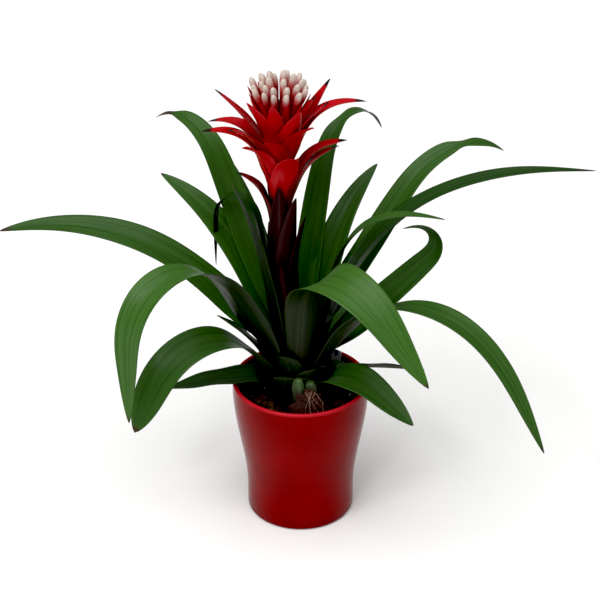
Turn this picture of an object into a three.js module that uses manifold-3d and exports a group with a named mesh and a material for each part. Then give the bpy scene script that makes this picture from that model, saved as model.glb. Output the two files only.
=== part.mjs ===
// A potted bromeliad, in millimetres with +Z up. A glossy cover pot holds a nursery pot of potting
// mix, and the plant grows from a short crown: a rosette of strap leaves, and a stalk with a head of
// red bracts round a dome of white-tipped florets. The origin is under the middle of the pot.

import * as THREE from "three";
import { mergeVertices } from "three/addons/utils/BufferGeometryUtils.js";
import Module from "manifold-3d";

const wasm = await Module();
wasm.setup();

// Cover pot
const POT_HEIGHT = 148;
const RIM_RADIUS = 68;
const FOOT_RADIUS = 54;
const FOOT_ROUNDING = 3.5;
const POT_WALL = 4.5;
const POT_FLOOR = 8;
const BELLY_LOW = 25;
const BELLY_HIGH = 140;

// Clearance between pieces that touch
const GAP = 0.3;

// Nursery pot and what it holds
const NURSERY_TOP = 130;
const NURSERY_RIM = 58.5;
const NURSERY_FOOT = 44;
const NURSERY_WALL = 1.6;
const RIM_BAND = 11;
const DRAIN_HOLES = 6;
const DRAIN_RADIUS = 5;
const DRAIN_CIRCLE = 30;
const SOIL_TOP = 126;

// Care tag, slid between the two pots
const TAG = { width: 12, thick: 0.8, height: 44, turn: 54, low: 107, lowRadius: 58.8, lean: 4.9 };

// Crown: leaf sheaths clasp it in tiers, the outermost and lowest first
const AXIS_X = -4;
const TIER_RADIUS = 30;
const TIER_RADIUS_STEP = 2.2;
const TIER_HEIGHT = 136;
const TIER_HEIGHT_STEP = 4.5;
const TIERS = 9;
const CROWN_STEM = 14;
const CROWN_DEPTH = 14;
const SHEATH_CLEARANCE = 0.7;

// What stands in front of the crown
const SHOOT = { x: -2, y: -41, low: 127.5, radius: 7.5, height: 44, lean: 7 };
const ROOT_LUMP = { x: 8, y: -43, wide: 20, deep: 9, tall: 34 };
const STRAND_THICK = 0.8;
const STRAND_SIDES = 6;
const STRAND_ENDS = [[8, -52], [16, -51.5], [26, -48], [33, -42]];

// Leaves
const LEAF_THICK = 1.3;
const LEAF_CLASP = 42;
const LEAF_CUP = 22;
const SHEATH_LENGTH = 30;
const SHEATH_LENGTH_STEP = 3;
const FOOT_RISE = 82;

// A blade leaves its sheath's line, opens out and starts to roll over these multiples of the sheath
const LEAVING_OVER = 1.6;
const OPENING_OVER = 1.8;
const ROLL_FROM = 0.6;
const ROLL_OVER = 1.8;
const TIP_WIDTH = 0.9;
const TAPER_POWER = 0.8;

// Flower stalk: it drifts to one side as it leaves the crown, then stands straight up to the head
const STALK_START = TIER_HEIGHT + TIERS * TIER_HEIGHT_STEP - 4;
const STALK_LENGTH = 247.4;
const STALK_DRIFT = 15;
const STALK_DRIFT_HEIGHT = 130;
const STALK_FOOT_RADIUS = 8;
const STALK_TOP_RADIUS = 7;
const STALK_HEAD_RADIUS = 10.5;
const STALK_HEAD_DEPTH = 4;
const STALK_NECK = 12;
const STALK_STEPS = 12;

// Bracts: in each row of the head, every second one is set higher and further in
const BRACT_THICK = 1.1;
const BRACT_CLASP = 50;
const BRACT_SHEATH = 18;
const HEAD_RAISE = 7;
const HEAD_INSET = 1.6;

// Floret rings: how many buds, how far out they stand, and how they lean and reach
const FLORET_RADIUS = 3.3;
const FLORET_DISC = 3;
const FLORET_RINGS = [
  { name: "florets_inner", count: 5, radius: 1.8, lean: 9, length: 56, disc: [0, 3.2] },
  { name: "florets_middle", count: 10, radius: 4.9, lean: 17, length: 53, disc: [3.8, 7] },
  { name: "florets_outer", count: 14, radius: 9, lean: 22, length: 50, disc: [7.5, 10.5] },
];

const COLOURS = {
  glaze: [0x9c0812, 0.12],
  plastic: [0x16181a, 0.5],
  soil: [0x1d120c, 0.95],
  tag: [0xe8ecf0, 0.4],
  root: [0xa8795c, 0.8],
  crown: [0x3c4a24, 0.6],
  leaf: [0x2c5a1e, 0.4],
  stalk: [0x3d0c18, 0.5],
  stemBract: [0x4e0d1c, 0.45],
  bract: [0xb80d18, 0.4],
  floret: [0xe9b7ae, 0.5],
};

const radians = THREE.MathUtils.degToRad;

function ease(t) {
  const x = THREE.MathUtils.clamp(t, 0, 1);
  return x * x * (3 - 2 * x);
}

function mix(a, b, t) {
  return a + (b - a) * t;
}

function material(kind) {
  const [color, roughness] = COLOURS[kind];
  return new THREE.MeshStandardMaterial({ color, roughness, metalness: 0 });
}

function piece(name, geometry, kind) {
  const mesh = new THREE.Mesh(geometry, material(kind));
  mesh.name = name;
  return mesh;
}

// A solid of revolution about Z, from [radius, height] pairs.
function turned(profile, sides) {
  const points = profile.map(([radius, height]) => new THREE.Vector2(radius, height));
  return new THREE.LatheGeometry(points, sides).rotateX(Math.PI / 2);
}

function toSolid(geometry) {
  const bare = geometry.clone();
  bare.deleteAttribute("normal");
  bare.deleteAttribute("uv");
  const merged = mergeVertices(bare, 1e-4);
  const vertProperties = merged.attributes.position.array;
  const triVerts = new Uint32Array(merged.index.array);
  return new wasm.Manifold(new wasm.Mesh({ numProp: 3, vertProperties, triVerts }));
}

// The largest body of a solid, as a geometry.
function fromSolid(solid) {
  const bodies = solid.decompose();
  bodies.sort((a, b) => b.volume() - a.volume());
  const mesh = bodies[0].getMesh();
  const geometry = new THREE.BufferGeometry();
  geometry.setAttribute("position", new THREE.BufferAttribute(mesh.vertProperties, 3));
  geometry.setIndex(new THREE.BufferAttribute(mesh.triVerts, 1));
  return geometry;
}

// Cover pot: straight foot, a waist that swells to the rim, and a rounded lip.
function potRadius(height) {
  return mix(FOOT_RADIUS, RIM_RADIUS, ease((height - BELLY_LOW) / (BELLY_HIGH - BELLY_LOW)));
}

function ceramicPot() {
  const profile = [[0, 0]];
  for (let turn = 0; turn <= 90; turn += 45) {
    const across = FOOT_ROUNDING * Math.sin(radians(turn));
    const up = FOOT_ROUNDING * (1 - Math.cos(radians(turn)));
    profile.push([FOOT_RADIUS - FOOT_ROUNDING + across, up]);
  }
  const lip = POT_WALL / 2;
  for (let height = 25; height < POT_HEIGHT - lip; height += 20) {
    profile.push([potRadius(height), height]);
  }
  for (let turn = 0; turn <= 180; turn += 45) {
    const across = lip * Math.cos(radians(turn));
    profile.push([RIM_RADIUS - lip + across, POT_HEIGHT - lip + lip * Math.sin(radians(turn))]);
  }
  for (let height = 125; height > POT_FLOOR; height -= 25) {
    profile.push([potRadius(height) - POT_WALL, height]);
  }
  profile.push([FOOT_RADIUS - POT_WALL - 2, POT_FLOOR], [0, POT_FLOOR]);
  return piece("ceramic_pot", turned(profile, 48), "glaze");
}

// Nursery pot: thin tapered plastic with a band under its rim and drain holes in its floor.
function nurseryRadius(height) {
  const floor = POT_FLOOR + GAP;
  return mix(NURSERY_FOOT, NURSERY_RIM - 2.5, (height - floor) / (NURSERY_TOP - floor));
}

function nurseryPot() {
  const floor = POT_FLOOR + GAP;
  const band = NURSERY_TOP - RIM_BAND;
  const profile = [
    [0, floor],
    [NURSERY_FOOT, floor],
    [nurseryRadius(band), band],
    [NURSERY_RIM - 0.5, band + 1.5],
    [NURSERY_RIM, NURSERY_TOP],
    [NURSERY_RIM - NURSERY_WALL, NURSERY_TOP],
    [nurseryRadius(band) - NURSERY_WALL, band + 1],
    [NURSERY_FOOT - NURSERY_WALL, floor + NURSERY_WALL],
    [0, floor + NURSERY_WALL],
  ];
  let solid = toSolid(turned(profile, 36));
  for (let hole = 0; hole < DRAIN_HOLES; hole += 1) {
    const turn = radians((360 / DRAIN_HOLES) * hole);
    const drill = new THREE.CylinderGeometry(DRAIN_RADIUS, DRAIN_RADIUS, 4 * NURSERY_WALL, 8);
    drill.rotateX(Math.PI / 2).translate(DRAIN_CIRCLE, 0, floor).rotateZ(turn);
    solid = solid.subtract(toSolid(drill));
  }
  return piece("nursery_pot", fromSolid(solid), "plastic");
}

// Potting mix: fills the nursery pot, with a pit that the crown's stem stands in.
function pottingMix() {
  const low = POT_FLOOR + GAP + NURSERY_WALL + GAP;
  const band = NURSERY_TOP - RIM_BAND;
  const inner = NURSERY_WALL + 2 * GAP;
  const pitDepth = CROWN_DEPTH + GAP;
  const profile = [
    [0, low],
    [NURSERY_FOOT - inner, low],
    [nurseryRadius(band) - inner, band],
    [nurseryRadius(band) - inner + 0.8, SOIL_TOP - 2],
    [nurseryRadius(band) - inner - 1, SOIL_TOP],
    [0, SOIL_TOP],
  ];
  const pit = new THREE.CylinderGeometry(CROWN_STEM + GAP, CROWN_STEM + GAP, 2 * pitDepth, 32);
  pit.rotateX(Math.PI / 2).translate(AXIS_X, 0, SOIL_TOP);
  const solid = toSolid(turned(profile, 36)).subtract(toSolid(pit));
  return piece("potting_mix", fromSolid(solid), "soil");
}

function careTag() {
  const holder = new THREE.Group();
  holder.rotation.z = radians(TAG.turn);
  const geometry = new THREE.BoxGeometry(TAG.thick, TAG.width, TAG.height);
  geometry.translate(0, 0, TAG.height / 2);
  const tag = piece("care_tag", geometry, "tag");
  tag.position.set(TAG.lowRadius, 0, TAG.low);
  tag.rotation.y = radians(TAG.lean);
  holder.add(tag);
  return holder;
}

// Crown: the short woody stem that carries every leaf sheath and the stalk.
function tierRadius(tier) {
  return TIER_RADIUS - TIER_RADIUS_STEP * tier;
}

function tierHeight(tier) {
  return TIER_HEIGHT + TIER_HEIGHT_STEP * tier;
}

function crown() {
  const inside = LEAF_THICK / 2 + SHEATH_CLEARANCE;
  const top = STALK_START - GAP;
  const topTier = (top - TIER_HEIGHT) / TIER_HEIGHT_STEP;
  const profile = [
    [0, SOIL_TOP - CROWN_DEPTH],
    [CROWN_STEM, SOIL_TOP - CROWN_DEPTH],
    [CROWN_STEM, SOIL_TOP + 1],
    [TIER_RADIUS - 2, TIER_HEIGHT - 4],
    [TIER_RADIUS + 1, TIER_HEIGHT - 1.2],
    [TIER_RADIUS - inside, TIER_HEIGHT - GAP],
    [tierRadius(topTier) - inside, top],
    [0, top],
  ];
  const stem = piece("crown_stem", turned(profile, 32), "crown");
  stem.position.x = AXIS_X;
  return stem;
}

// A young offset shoot, which stands in the mix in front of the crown and leans back on it.
function shootGeometry(swell = 0) {
  const { radius, height } = SHOOT;
  const profile = [
    [0, -swell],
    [0.8 * radius + swell, -swell],
    [radius + swell, 0.2 * height],
    [0.9 * radius + swell, 0.7 * height],
    [0.6 * radius + swell, 0.9 * height],
    [0.2 * radius + swell, height + swell],
    [0, height + swell],
  ];
  const geometry = turned(profile, 12).rotateX(-radians(SHOOT.lean));
  return geometry.translate(SHOOT.x, SHOOT.y, SHOOT.low);
}

// Root strands: a matted lump of roots against the front of the crown, and fine roots that spread
// from it over the mix.
function rootStrands() {
  const { x, y, wide, deep, tall } = ROOT_LUMP;
  const lump = new THREE.SphereGeometry(1, 16, 12).scale(wide, deep, tall).translate(x, y, SOIL_TOP);
  let solid = toSolid(lump).trimByPlane([0, 0, 1], SOIL_TOP + GAP);
  const low = SOIL_TOP + STRAND_THICK + GAP;
  const knot = new THREE.Vector3(x, y - deep / 2, low + 2);
  const round = new THREE.EllipseCurve(0, 0, STRAND_THICK, STRAND_THICK).getPoints(STRAND_SIDES);
  const section = new THREE.Shape(round.slice(0, STRAND_SIDES));
  for (const [endX, endY] of STRAND_ENDS) {
    const middle = new THREE.Vector3((x + endX) / 2, (y + endY) / 2 - 2, low + 3);
    const path = new THREE.QuadraticBezierCurve3(knot, middle, new THREE.Vector3(endX, endY, low));
    const tube = new THREE.ExtrudeGeometry(section, { steps: 6, bevelEnabled: false, extrudePath: path });
    solid = solid.add(toSolid(tube));
  }
  return piece("root_strands", fromSolid(solid.subtract(toSolid(shootGeometry(GAP)))), "root");
}

// A blade is a cupped strip, for leaves and bracts alike. It climbs from a clasping foot, turns out to
// its own rise, droops where it bends over, and tapers to a tip. s runs from 0 at the foot to 1 at the
// tip. sway turns its heading, roll turns its face as it leaves the sheath, and twist turns its face
// again where it bends over, all in degrees.
function bladeAngles(blade, s) {
  const along = s * blade.length;
  const leaving = ease(along / (LEAVING_OVER * blade.sheath));
  const bending = ease((s - (blade.at - blade.over / 2)) / blade.over);
  const rolling = ease((along / blade.sheath - ROLL_FROM) / ROLL_OVER);
  return {
    rise: radians(mix(FOOT_RISE, blade.rise, leaving) - blade.droop * bending),
    heading: radians(blade.turn + blade.sway * ease((s - 0.1) / 0.9)),
    roll: radians(blade.roll * rolling + blade.twist * bending),
  };
}

function bladeAxes(blade, s) {
  const { rise, heading, roll } = bladeAngles(blade, s);
  const outward = new THREE.Vector3(Math.cos(heading), Math.sin(heading), 0);
  const level = new THREE.Vector3(-Math.sin(heading), Math.cos(heading), 0);
  const forward = outward.multiplyScalar(Math.cos(rise)).setZ(Math.sin(rise));
  const side = level.applyAxisAngle(forward, roll);
  const face = new THREE.Vector3().crossVectors(forward, side);
  return { forward, side, face };
}

// The width and half the angle that the section spans at s.
function bladeSection(blade, s) {
  const opening = ease((s * blade.length) / (OPENING_OVER * blade.sheath));
  const clasp = radians(blade.clasp);
  const footWidth = 2 * blade.radius * clasp;
  const taper = Math.max(1 - s ** blade.taper, 0) ** TAPER_POWER;
  return {
    width: mix(footWidth, blade.width, opening) * taper + TIP_WIDTH,
    span: mix(clasp, radians(blade.cup), opening),
  };
}

function bladeGeometry(blade, swell = 0) {
  const rows = blade.steps;
  const across = blade.across;
  const half = blade.thick / 2 + swell;
  const foot = radians(blade.turn);
  const place = new THREE.Vector3(Math.cos(foot), Math.sin(foot), 0).multiplyScalar(blade.radius);
  place.add(new THREE.Vector3(blade.x, 0, blade.height));
  const reach = blade.length / rows;
  const points = [];
  for (let row = 0; row <= rows; row += 1) {
    const s = row / rows;
    if (row > 0) {
      place.addScaledVector(bladeAxes(blade, s - 0.5 / rows).forward, reach);
    }
    const { forward, side, face } = bladeAxes(blade, s);
    const { width, span } = bladeSection(blade, s);
    const overrun = { 0: -swell, [rows]: swell }[row] ?? 0;
    const centre = place.clone().addScaledVector(forward, overrun);
    const curve = width / 2 / span;
    const edge = span + swell / curve;
    for (let point = 0; point < 2 * across; point += 1) {
      const back = point >= across;
      const step = back ? 2 * across - 1 - point : point;
      const angle = mix(-edge, edge, step / (across - 1));
      const radius = curve + (back ? half : -half);
      const rim = centre.clone().addScaledVector(face, curve - radius * Math.cos(angle));
      points.push(rim.addScaledVector(side, radius * Math.sin(angle)));
    }
  }
  return stripGeometry(points, rows, across);
}

// Joins rings of points into one closed strip: sides all round, and a cap at the foot and the tip.
function stripGeometry(points, rows, across) {
  const ring = 2 * across;
  const index = [];
  for (let row = 0; row < rows; row += 1) {
    for (let point = 0; point < ring; point += 1) {
      const a = row * ring + point;
      const b = row * ring + ((point + 1) % ring);
      index.push(a, b + ring, b, a, a + ring, b + ring);
    }
  }
  const last = rows * ring;
  for (let step = 0; step < across - 1; step += 1) {
    const a = step;
    const b = step + 1;
    const c = ring - 2 - step;
    const d = ring - 1 - step;
    index.push(a, b, c, a, c, d);
    index.push(last + a, last + c, last + b, last + a, last + d, last + c);
  }
  const geometry = new THREE.BufferGeometry().setFromPoints(points);
  geometry.setIndex(index);
  return geometry;
}

const STRAIGHT = { sway: 0, roll: 0, twist: 0 };
const LEAF = {
  ...STRAIGHT,
  taper: 3.2,
  cup: LEAF_CUP,
  clasp: LEAF_CLASP,
  thick: LEAF_THICK,
  steps: 11,
  across: 4,
};

function leaf(name, turn, tier, length, width, bend) {
  return {
    name,
    turn,
    length,
    width,
    x: AXIS_X,
    radius: tierRadius(tier),
    height: tierHeight(tier),
    sheath: SHEATH_LENGTH + SHEATH_LENGTH_STEP * tier,
    ...LEAF,
    ...bend,
  };
}

// Each leaf: the way it heads, its tier, its length and width, and how it rises and bends.
const LEAVES = [
  leaf("leaf_low_left", 185, 0, 110, 34, { rise: 0, droop: 10, at: 0.45, over: 0.8, sheath: 19 }),
  leaf("leaf_low_front", 325, 0, 135, 36, { rise: 28, droop: 57, at: 0.45, over: 0.6, roll: 20 }),
  leaf("leaf_low_back", 60, 0, 165, 30, { rise: 20, droop: 45, at: 0.5, over: 0.8 }),
  leaf("leaf_edge_right", 3, 1, 112, 22, { rise: 4, droop: 12, at: 0.5, over: 0.8, sheath: 20, roll: -38 }),
  leaf("leaf_low_back_left", 120, 1, 160, 30, { rise: 25, droop: 50, at: 0.5, over: 0.8 }),
  leaf("leaf_arch_left", 208, 1, 232, 38, {
    rise: 56, droop: 120, at: 0.51, over: 0.75, roll: 10, twist: -50, taper: 8,
  }),
  leaf("leaf_arch_right", 330, 2, 365, 31, {
    rise: 61, droop: 122, at: 0.5, over: 0.8, roll: -25, twist: 45,
  }),
  leaf("leaf_short_left", 197, 2, 108, 24, { rise: 62, droop: 22, at: 0.6, over: 0.8 }),
  leaf("leaf_back", 90, 2, 180, 28, { rise: 40, droop: 60, at: 0.5, over: 0.8 }),
  leaf("leaf_curl_right", 0, 3, 236, 30, { rise: 46, droop: -155, at: 0.86, over: 0.3, roll: 50 }),
  leaf("leaf_fold_left", 211, 3, 372, 38, {
    rise: 63, droop: 152, at: 0.56, over: 0.55, roll: 30, twist: -75,
  }),
  leaf("leaf_back_left", 120, 3, 215, 24, { rise: 66, droop: 20, at: 0.6, over: 0.8 }),
  leaf("leaf_far_left", 174, 4, 342, 35, { rise: 48, droop: 66, at: 0.65, over: 0.9, roll: -25 }),
  leaf("leaf_fold_front", 285, 4, 310, 50, {
    rise: 80, droop: 132, at: 0.54, over: 0.6, sway: 52, twist: 35, sheath: 85,
  }),
  leaf("leaf_far_right", 5, 4, 390, 29, { rise: 75, droop: 79, at: 0.53, over: 0.9, roll: 6, taper: 2.2 }),
  leaf("leaf_up_left", 150, 5, 237, 38, { rise: 69, droop: 51, at: 0.65, over: 1, roll: -20 }),
  leaf("leaf_mid_right", 345, 5, 260, 24, { rise: 80, droop: 84, at: 0.7, over: 0.6 }),
  leaf("leaf_twist_right", 22, 6, 324, 31, { rise: 56, droop: 118, at: 0.87, over: 0.6, roll: 22 }),
  leaf("leaf_dark_left", 208, 6, 222, 28, { rise: 81, droop: 14, at: 0.7, over: 0.8 }),
  leaf("leaf_tall_left", 140, 7, 308, 35, { rise: 62, droop: 112, at: 0.87, over: 0.44, roll: -15 }),
  leaf("leaf_up_right", 40, 7, 212, 34, { rise: 72, droop: 45, at: 0.8, over: 0.8, roll: 20 }),
  leaf("leaf_tall_right", 72, 8, 308, 29, { rise: 71, droop: 132, at: 0.82, over: 0.4, sway: -30 }),
  leaf("leaf_hang_left", 155, 8, 272, 16, { rise: 77, droop: 165, at: 0.67, over: 0.3 }),
];

const BRACT = {
  ...STRAIGHT,
  x: 0,
  sheath: BRACT_SHEATH,
  taper: 1.7,
  cup: 30,
  clasp: BRACT_CLASP,
  thick: BRACT_THICK,
  steps: 6,
  across: 3,
};

function bract(name, turn, height, radius, length, width, bend) {
  return { name, turn, height, radius, length, width, ...BRACT, ...bend };
}

// Stem bracts clasp the stalk below the head.
const STEM_BRACTS = [
  bract("stem_bract_1", 270, 14, 9.4, 105, 32, { rise: 85, droop: 6, at: 0.6, over: 0.8, cup: 60 }),
  bract("stem_bract_2", 120, 36, 9.4, 105, 30, { rise: 85, droop: 6, at: 0.6, over: 0.8, cup: 60 }),
  bract("stem_bract_3", 350, 60, 9.4, 100, 32, { rise: 85, droop: 8, at: 0.6, over: 0.8, cup: 60 }),
  bract("stem_bract_4", 305, 88, 9.4, 100, 34, { rise: 84, droop: 8, at: 0.6, over: 0.8, cup: 55 }),
  bract("stem_bract_5", 268, 118, 9.4, 82, 30, { rise: 84, droop: 10, at: 0.6, over: 0.8, cup: 55 }),
];

// Head bracts stand in rows round the florets, long in the low rows and short in the top one. bracts
// holds the way each one heads, its length and its droop.
const HEAD_ROWS = [
  {
    height: 154,
    radius: 10.4,
    width: 30,
    rise: 70,
    bracts: [[185, 62, 40], [345, 94, 40], [90, 84, 36]],
  },
  {
    height: 172,
    radius: 10.4,
    width: 33,
    rise: 70,
    bracts: [[286, 90, 46], [182, 106, 74], [2, 90, 62], [232, 88, 46], [100, 86, 46]],
  },
  {
    height: 193,
    radius: 10.4,
    width: 31,
    rise: 68,
    bracts: [[165, 95, 82], [8, 115, 74], [215, 88, 44], [305, 86, 40], [258, 80, 40], [80, 90, 40]],
  },
  {
    height: 214,
    radius: 10.4,
    width: 28,
    rise: 58,
    bracts: [[185, 92, 14], [350, 70, 18], [25, 86, 2], [235, 84, 8], [290, 86, 8]],
  },
  {
    height: 234,
    radius: 18,
    width: 22,
    rise: 60,
    bracts: [[262, 64, 4], [325, 56, 4]],
  },
];

function headBracts() {
  return HEAD_ROWS.flatMap((row, level) => row.bracts.map(([turn, length, droop], place) => {
    const name = `head_bract_${level + 1}_${place + 1}`;
    const inner = place % 2;
    const height = row.height + HEAD_RAISE * inner;
    const radius = row.radius - HEAD_INSET * inner;
    const bend = { rise: row.rise, droop, at: 0.65, over: 0.7 };
    return bract(name, turn, height, radius, length, row.width, bend);
  }));
}

// Blades that would cross are trimmed: a later one gives way to those before it, with the usual gap.
function trimmedBlades(blades, kind) {
  const done = [];
  return blades.map((blade) => {
    let solid = toSolid(bladeGeometry(blade));
    for (const other of done) {
      if (solid.intersect(other).volume() > 0) {
        solid = solid.subtract(other);
      }
    }
    done.push(toSolid(bladeGeometry(blade, GAP)));
    return piece(blade.name, fromSolid(solid), kind);
  });
}

// The stalk widens at its top into the head that the florets stand on.
function stalk() {
  const profile = [[0, 0]];
  for (let step = 0; step <= STALK_STEPS; step += 1) {
    const share = step / STALK_STEPS;
    profile.push([mix(STALK_FOOT_RADIUS, STALK_TOP_RADIUS, share), (STALK_LENGTH - STALK_NECK) * share]);
  }
  profile.push([STALK_HEAD_RADIUS, STALK_LENGTH - STALK_HEAD_DEPTH]);
  profile.push([STALK_HEAD_RADIUS, STALK_LENGTH], [0, STALK_LENGTH]);
  return piece("flower_stalk", turned(profile, 20), "stalk");
}

// A ring of florets: slim buds that stand on one small disc.
function floretRing(ring) {
  const [inner, outer] = ring.disc;
  const low = STALK_LENGTH + GAP;
  const high = low + FLORET_DISC;
  const disc = [[inner, low], [outer, low], [outer, high], [inner, high]];
  let solid = toSolid(turned(inner > 0 ? [...disc, disc[0]] : disc, 20));
  const shape = [[0, 0], [0.4, 0], [1, 0.7], [0.75, 0.92], [0, 1]];
  const profile = shape.map(([wide, tall]) => [FLORET_RADIUS * wide, ring.length * tall]);
  for (let bud = 0; bud < ring.count; bud += 1) {
    const geometry = turned(profile, 6);
    geometry.rotateY(radians(ring.lean)).translate(ring.radius, 0, low + 1);
    geometry.rotateZ(radians((360 / ring.count) * bud));
    solid = solid.add(toSolid(geometry));
  }
  return piece(ring.name, fromSolid(solid), "floret");
}

// Moves a piece of the flower sideways with the stalk that carries it.
function driftWithStalk(mesh) {
  const points = mesh.geometry.attributes.position;
  for (let point = 0; point < points.count; point += 1) {
    const drift = STALK_DRIFT * ease(points.getZ(point) / STALK_DRIFT_HEIGHT);
    points.setX(point, points.getX(point) - drift);
  }
  return mesh;
}

function flower() {
  const group = new THREE.Group();
  group.position.set(AXIS_X, 0, STALK_START + 2 * GAP);
  const pieces = [stalk(), ...FLORET_RINGS.map(floretRing)];
  pieces.push(...trimmedBlades(STEM_BRACTS, "stemBract"), ...trimmedBlades(headBracts(), "bract"));
  group.add(...pieces.map(driftWithStalk));
  return group;
}

const plant = new THREE.Group();
plant.add(ceramicPot(), nurseryPot(), pottingMix(), careTag());
plant.add(crown(), piece("offset_shoot", shootGeometry(), "crown"), rootStrands());
plant.add(...trimmedBlades(LEAVES, "leaf"));
plant.add(flower());

export default plant;
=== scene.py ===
# A potted bromeliad, built up from the cover pot to the florets, in metres.
import math

import bpy
import numpy as np
from mathutils import Matrix, Vector, noise


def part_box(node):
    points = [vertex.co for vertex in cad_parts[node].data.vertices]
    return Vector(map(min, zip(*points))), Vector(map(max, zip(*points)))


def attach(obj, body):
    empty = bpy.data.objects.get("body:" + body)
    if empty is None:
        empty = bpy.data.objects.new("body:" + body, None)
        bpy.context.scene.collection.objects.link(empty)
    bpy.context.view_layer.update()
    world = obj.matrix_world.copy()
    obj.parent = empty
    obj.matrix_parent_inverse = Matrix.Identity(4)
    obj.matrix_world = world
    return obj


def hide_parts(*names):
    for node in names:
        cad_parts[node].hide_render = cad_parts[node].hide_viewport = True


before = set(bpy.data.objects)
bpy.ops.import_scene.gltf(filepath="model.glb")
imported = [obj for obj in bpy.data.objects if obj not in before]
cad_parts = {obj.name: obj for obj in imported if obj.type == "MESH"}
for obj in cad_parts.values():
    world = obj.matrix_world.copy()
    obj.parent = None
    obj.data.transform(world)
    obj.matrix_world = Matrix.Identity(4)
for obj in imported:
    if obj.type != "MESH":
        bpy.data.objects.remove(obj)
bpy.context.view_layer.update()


# ---------------------------------------------------------------------------------------------
# Cover pot. One slip-cast stoneware pot under a thick, glossy red glaze, with a rounded lip and a
# closed floor. It was dipped whole, so the glaze runs over the lip and down the inside.

MM = 0.001


def joined_mesh(name, points, faces, smooth=True):
    mesh = bpy.data.meshes.new(name)
    mesh.from_pydata([tuple(point) for point in points], [], faces)
    mesh.validate()
    mesh.polygons.foreach_set("use_smooth", [smooth] * len(mesh.polygons))
    thing = bpy.data.objects.new(name, mesh)
    bpy.context.scene.collection.objects.link(thing)
    return thing


def turned(name, profile, sides):
    """A turned shape about Z from (radius, height) pairs, which starts and ends on the axis."""
    points = [(0.0, 0.0, profile[0][1])]
    angles = [2 * math.pi * side / sides for side in range(sides)]
    rings = profile[1:-1]
    for radius, height in rings:
        points += [(radius * math.cos(a), radius * math.sin(a), height) for a in angles]
    points.append((0.0, 0.0, profile[-1][1]))
    last = len(points) - 1
    faces = []
    for side in range(sides):
        beside = (side + 1) % sides
        faces.append((0, 1 + beside, 1 + side))
        top = 1 + (len(rings) - 1) * sides
        faces.append((last, top + side, top + beside))
        for ring in range(len(rings) - 1):
            low = 1 + ring * sides
            faces.append((low + side, low + beside, low + sides + beside, low + sides + side))
    return joined_mesh(name, points, faces)


def add(tree, kind, inputs=None, **settings):
    """Adds a node, sets its settings, and sets or links its inputs."""
    node = tree.nodes.new(kind)
    for key, value in settings.items():
        setattr(node, key, value)
    for key, value in (inputs or {}).items():
        socket = node.inputs[key]
        if isinstance(value, bpy.types.NodeSocket):
            tree.links.new(value, socket)
        else:
            socket.default_value = value
    return node


def finish_material(name, **uniform):
    """A new material, its tree and its shader, with the values that are the same all over it."""
    material = bpy.data.materials.new(name)
    material.use_nodes = True
    shader = material.node_tree.nodes["Principled BSDF"]
    for key, value in uniform.items():
        shader.inputs[key.replace("_", " ")].default_value = value
    return material, material.node_tree, shader


def ramp(tree, factor, *stops):
    """A colour ramp through (place, colour) stops."""
    node = add(tree, "ShaderNodeValToRGB", {"Fac": factor})
    marks = node.color_ramp.elements
    while len(marks) < len(stops):
        marks.new(0.5)
    for mark, (place, colour) in zip(marks, stops):
        mark.position = place
        mark.color = (*colour, 1.0)
    return node.outputs["Color"]


def blend_colours(tree, factor, first, second, way="MIX"):
    node = add(tree, "ShaderNodeMix", data_type="RGBA", blend_type=way)
    sockets = {"Factor": 0, "A": 6, "B": 7}
    for key, value in (("Factor", factor), ("A", first), ("B", second)):
        socket = node.inputs[sockets[key]]
        if isinstance(value, bpy.types.NodeSocket):
            tree.links.new(value, socket)
        else:
            socket.default_value = value if key == "Factor" else (*value, 1.0)
    return node.outputs[2]


def bump(tree, shader, height, distance, strength=1.0, under=None):
    node = add(tree, "ShaderNodeBump", {"Height": height, "Distance": distance, "Strength": strength})
    if under is not None:
        tree.links.new(under, node.inputs["Normal"])
    tree.links.new(node.outputs["Normal"], shader.inputs["Normal"])
    return node.outputs["Normal"]


def own_place(tree):
    """Object coordinates, which stay with the piece."""
    return add(tree, "ShaderNodeTexCoord").outputs["Object"]


def noise_on(tree, where, scale, detail):
    return add(tree, "ShaderNodeTexNoise", {"Vector": where, "Scale": scale, "Detail": detail}).outputs["Fac"]


def height_in(tree, where):
    return add(tree, "ShaderNodeSeparateXYZ", {"Vector": where}).outputs["Z"]


def between(tree, value, start, end, highest=1.0):
    """Rises from 0 where value is start to highest where it is end."""
    limits = {"Value": value, "From Min": start, "From Max": end, "To Max": highest}
    return add(tree, "ShaderNodeMapRange", limits).outputs["Result"]


def stands_for(piece, node):
    """The piece rides on the plant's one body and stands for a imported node."""
    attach(piece, "root")
    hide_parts(node)


def ease(t):
    t = np.clip(t, 0.0, 1.0)
    return t * t * (3 - 2 * t)


pot_low, pot_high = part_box("ceramic_pot")
rim_radius = (pot_high[0] - pot_low[0]) / 2
pot_height = pot_high[2]
foot_radius = 54 * MM
foot_rounding = 3.5 * MM
pot_wall = 4.5 * MM
pot_floor = 8 * MM
inner_rounding = 4 * MM
flare_low, flare_over = 25 * MM, 115 * MM


def pot_radius(height):
    """The outside swells from the foot to the rim on one smooth curve."""
    return foot_radius + (rim_radius - foot_radius) * float(ease((height - flare_low) / flare_over))


def arc(centre, radius, start, end, steps):
    """Points on an arc, in degrees from outward, towards up."""
    angles = np.radians(np.linspace(start, end, steps + 1))
    return [(centre[0] + radius * math.cos(a), centre[1] + radius * math.sin(a)) for a in angles]


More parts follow.
